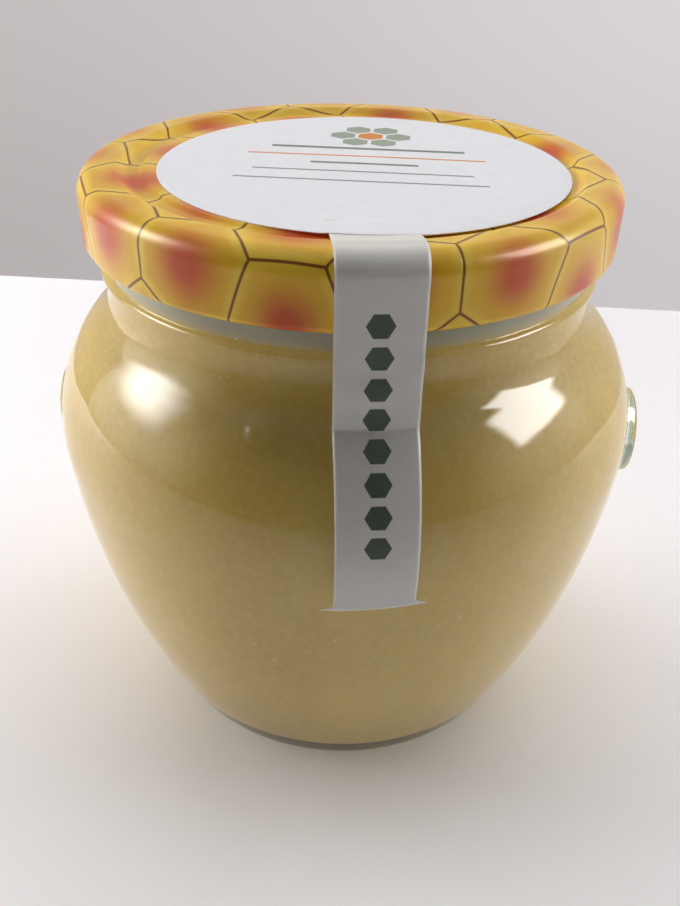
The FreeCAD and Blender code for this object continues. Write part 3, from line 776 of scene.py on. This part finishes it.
def plain_stage(name, colour, roughness, seen=None):
    """A plain matt finish with a faint cloudiness, seen through from behind.

    Where two colours are given as seen, a camera, gloss or glass shows them as a glow at their own
    strength, one toward -X and the other toward +X, and a little darker low down: painted light and
    shade.
    """
    made, paint, shader, leave = new_material(name)
    where = paint.add("ShaderNodeTexCoord").outputs["Object"]
    cloud = paint.noise(where, 6.0, 2.0)
    soft = tuple(0.96 * value for value in colour[:3]) + (1.0,)
    paint.feed(shader.inputs["Base Color"], paint.mix(cloud, soft, colour))
    shader.inputs["Roughness"].default_value = roughness
    behind = paint.add("ShaderNodeNewGeometry").outputs["Backfacing"]
    clear = paint.add("ShaderNodeBsdfTransparent")
    front = shader.outputs[0]
    if seen:
        x, _, z = paint.split(where)
        # Painted light and shade: the glow goes from the first colour toward -X to the second toward +X,
        # and is painted darker low down.
        painted_side_light = paint.mix(paint.ease(x, -0.16, 0.16), *seen)
        low = paint.math("MULTIPLY_ADD", paint.ease(z, 0.0, 0.12), 0.16, 0.84)
        ray = paint.add("ShaderNodeLightPath").outputs
        looked = paint.math("MAXIMUM", ray["Is Camera Ray"], ray["Is Glossy Ray"])
        looked = paint.math("MAXIMUM", looked, ray["Is Transmission Ray"])
        pale = paint.add("ShaderNodeEmission", (painted_side_light, low))
        front = paint.add("ShaderNodeMixShader", (looked, front, pale.outputs[0])).outputs[0]
    both = paint.add("ShaderNodeMixShader", (behind, front, clear.outputs[0]))
    made.node_tree.links.new(both.outputs[0], leave.inputs["Surface"])
    return made


# ================================================================ the jar
PRINT_SIDE = 9.14
PRINT_TURN = math.radians(-23.1)
PRINT_OFFSET = (7.69, 14.35, 0.0)

honeycomb = honeycomb_group()
fibre = paper_group()
marks = marks_group()

outer_lid, _ = lid_lines()
curl_length = lengths(outer_lid)[-1] / MM

for piece, node, slot, finish in (
        (make_glass(), "jar_glass", "glass", clear_glass(marks)),
        (make_honey(), "honey", "honey", set_honey()),
        (make_lid(), "lid", "lid_tin", printed_lid(honeycomb, marks, curl_length)),
        (make_label(), "lid_label", "label_paper", label_paper(honeycomb, fibre)),
        (make_strip(), "seal_strip", "strip_paper", strip_paper(fibre))):
    piece.data.materials.append(finish)
    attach(piece, "root")
    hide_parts(node)


# ================================================================ stage, lights, camera
def stage_sheet(name, line, half_width, finish):
    """A stage surface: a profile of (y, z) carried sideways along X."""
    line = np.asarray(line)
    x = np.array([-half_width, half_width])
    grid = np.stack([np.broadcast_to(x, (len(line), 2)),
                     np.broadcast_to(line[:, :1], (len(line), 2)),
                     np.broadcast_to(line[:, 1:], (len(line), 2))], axis=-1)
    piece = skin(name, grid, wrap_columns=False)
    piece.data.materials.append(finish)
    return piece


STAGE_HALF_WIDTH = 0.62
FLOOR_FRONT = -0.7
FLOOR_BACK = 0.177
SWEEP = 0.01
WALL_TOP = 0.3

stage_sheet("table", run((FLOOR_FRONT, 0.0), (FLOOR_BACK - SWEEP, 0.0), 2), STAGE_HALF_WIDTH,
            plain_stage("table_top", tint(242, 240, 244), 0.5))
wall_line = chain(bend(FLOOR_BACK - SWEEP, SWEEP, SWEEP, -math.pi / 2, 0, 8),
                  run((FLOOR_BACK, SWEEP), (FLOOR_BACK, WALL_TOP), 2))
# The backdrop's glow carries painted shade: darker toward -X and low down, lighter toward +X.
wall = stage_sheet("backdrop", wall_line, STAGE_HALF_WIDTH,
                   plain_stage("backdrop_wall", tint(222, 217, 220), 0.7,
                               (tint(198, 191, 191), tint(222, 217, 219))))
wall.visible_shadow = False


def aimed(azimuth, elevation, distance):
    """A place round the middle of the jar, turned to face it.

    Azimuth is the turn from the -Y side toward +X, and elevation the height over the horizon.
    """
    turn, rise = math.radians(azimuth), math.radians(elevation)
    place = Matrix.Translation((0, 0, 0.06)) @ Matrix.Rotation(turn, 4, "Z")
    return place @ Matrix.Rotation(math.pi / 2 - rise, 4, "X") @ Matrix.Translation((0, 0, distance))


def soft_lamp(name, place, size, power, colour):
    """An oblong lamp that lights the jar but isn't mirrored in it."""
    data = bpy.data.lights.new(name, "AREA")
    data.shape = "RECTANGLE"
    data.size, data.size_y = size
    data.energy = power
    data.color = colour
    lamp = bpy.data.objects.new(name, data)
    bpy.context.scene.collection.objects.link(lamp)
    lamp.matrix_world = place
    lamp.visible_glossy = False
    return lamp


def mirrored_card(name, place, size, colour, strength, soft):
    """An oblong seen only in gloss, such as a lamp's image or a dark room, with faded edges.

    It is a flat grid of four points. Soft is the share of the half width and half height over
    which it fades.
    """
    half_x, half_y = size[0] / 2, size[1] / 2
    share_x, share_y = np.meshgrid(np.array([-1.0, 1.0]), np.array([-1.0, 1.0]))
    grid = np.stack([share_x * half_x, share_y * half_y, np.zeros((2, 2))], axis=-1)
    turned = np.array(place)
    grid = grid @ turned[:3, :3].T + turned[:3, 3]
    card = skin(name, grid, uv=np.stack([share_x, share_y], axis=-1), wrap_columns=False)
    glow = bpy.data.materials.new(name)
    glow.use_nodes = True
    glow.node_tree.nodes.clear()
    paint = Paint(glow.node_tree)
    x, y, _ = paint.split(paint.add("ShaderNodeUVMap", uv_map="UVMap").outputs["UV"])
    fade = paint.math("MULTIPLY", paint.ease(paint.math("ABSOLUTE", x), 1.0, 1.0 - soft),
                      paint.ease(paint.math("ABSOLUTE", y), 1.0, 1.0 - soft))
    light = paint.add("ShaderNodeEmission", named={
        "Color": colour, "Strength": strength})
    clear = paint.add("ShaderNodeBsdfTransparent")
    both = paint.add("ShaderNodeMixShader", (fade, clear.outputs[0], light.outputs[0]))
    leave = paint.add("ShaderNodeOutputMaterial")
    glow.node_tree.links.new(both.outputs[0], leave.inputs["Surface"])
    card.data.materials.append(glow)
    for kind in ("camera", "diffuse", "transmission", "shadow", "volume_scatter"):
        setattr(card, "visible_" + kind, False)
    return card


LAMP_WHITE = (1.0, 0.99, 0.96, 1.0)
ROOM_DARK = (0.06, 0.05, 0.04, 1.0)
soft_lamp("left_window", aimed(-108, 12, 0.55), (0.45, 0.28), 3.5, (1.0, 0.98, 0.95))
soft_lamp("right_window", aimed(114, 12, 0.55), (0.45, 0.28), 2.6, (1.0, 0.98, 0.96))
soft_lamp("ceiling", aimed(175, 70, 1.0), (1.2, 0.8), 7.4, (0.96, 0.98, 1.0))
mirrored_card("left_glow", aimed(-87, 27, 0.5), (0.36, 0.3), LAMP_WHITE, 17.0, 0.9)
mirrored_card("left_haze", aimed(-86, 12, 0.85), (1.5, 0.95), LAMP_WHITE, 2.4, 1.0)
mirrored_card("right_glow", aimed(87, 29, 0.5), (0.3, 0.22), LAMP_WHITE, 15.0, 0.35)
mirrored_card("right_haze", aimed(88, 12, 0.85), (1.5, 0.95), LAMP_WHITE, 1.3, 1.0)
mirrored_card("dark_floor", Matrix.Translation((0, -0.86, 0.002)), (1.6, 1.2), ROOM_DARK, 1.0, 0.25)


def pale_room():
    """A world that is pale where it is looked at or seen through, and dim as a lamp.

    Gloss mirrors it pale at the sides and back and dark toward the front.
    """
    room = bpy.data.worlds.new("room")
    room.use_nodes = True
    room.node_tree.nodes.clear()
    paint = Paint(room.node_tree)
    ray = paint.add("ShaderNodeLightPath").outputs
    seen = paint.math("MAXIMUM", ray["Is Camera Ray"], ray["Is Glossy Ray"])
    seen = paint.math("MAXIMUM", seen, ray["Is Transmission Ray"])
    dim = paint.add("ShaderNodeBackground", ((1.0, 0.94, 0.88, 1.0), 0.06))
    _, back, _ = paint.split(paint.add("ShaderNodeTexCoord").outputs["Generated"])
    front = paint.math("MULTIPLY", paint.ease(back, -0.1, -0.8), ray["Is Glossy Ray"])
    colour = paint.mix(front, tint(206, 202, 204), ROOM_DARK)
    pale = paint.add("ShaderNodeBackground", (colour, 1.0))
    both = paint.add("ShaderNodeMixShader", (seen, dim.outputs[0], pale.outputs[0]))
    leave = paint.add("ShaderNodeOutputWorld")
    room.node_tree.links.new(both.outputs[0], leave.inputs["Surface"])
    return room


bpy.context.scene.world = pale_room()

# The camera stands close above the front, looking down at the jar.
CAMERA_TURN = math.radians(4.0)
CAMERA_BACK = 0.13275
CAMERA_HEIGHT = 0.12873
CAMERA_YAW = math.radians(-0.298)
CAMERA_PITCH = math.radians(33.478)
CAMERA_ROLL = math.radians(1.282)

lens = bpy.data.cameras.new("camera")
lens.lens = 34.967
lens.sensor_width = 36.0
lens.clip_start = 0.005
camera = bpy.data.objects.new("camera", lens)
bpy.context.scene.collection.objects.link(camera)
stand = Matrix.Rotation(CAMERA_TURN, 4, "Z") @ Matrix.Translation((0, -CAMERA_BACK, CAMERA_HEIGHT))
aim = Matrix.Rotation(-CAMERA_YAW, 4, "Z") @ Matrix.Rotation(math.pi / 2 - CAMERA_PITCH, 4, "X")
camera.matrix_world = stand @ aim @ Matrix.Rotation(CAMERA_ROLL, 4, "Z")
bpy.context.scene.camera = camera
bpy.context.scene.view_settings.view_transform = "Standard"
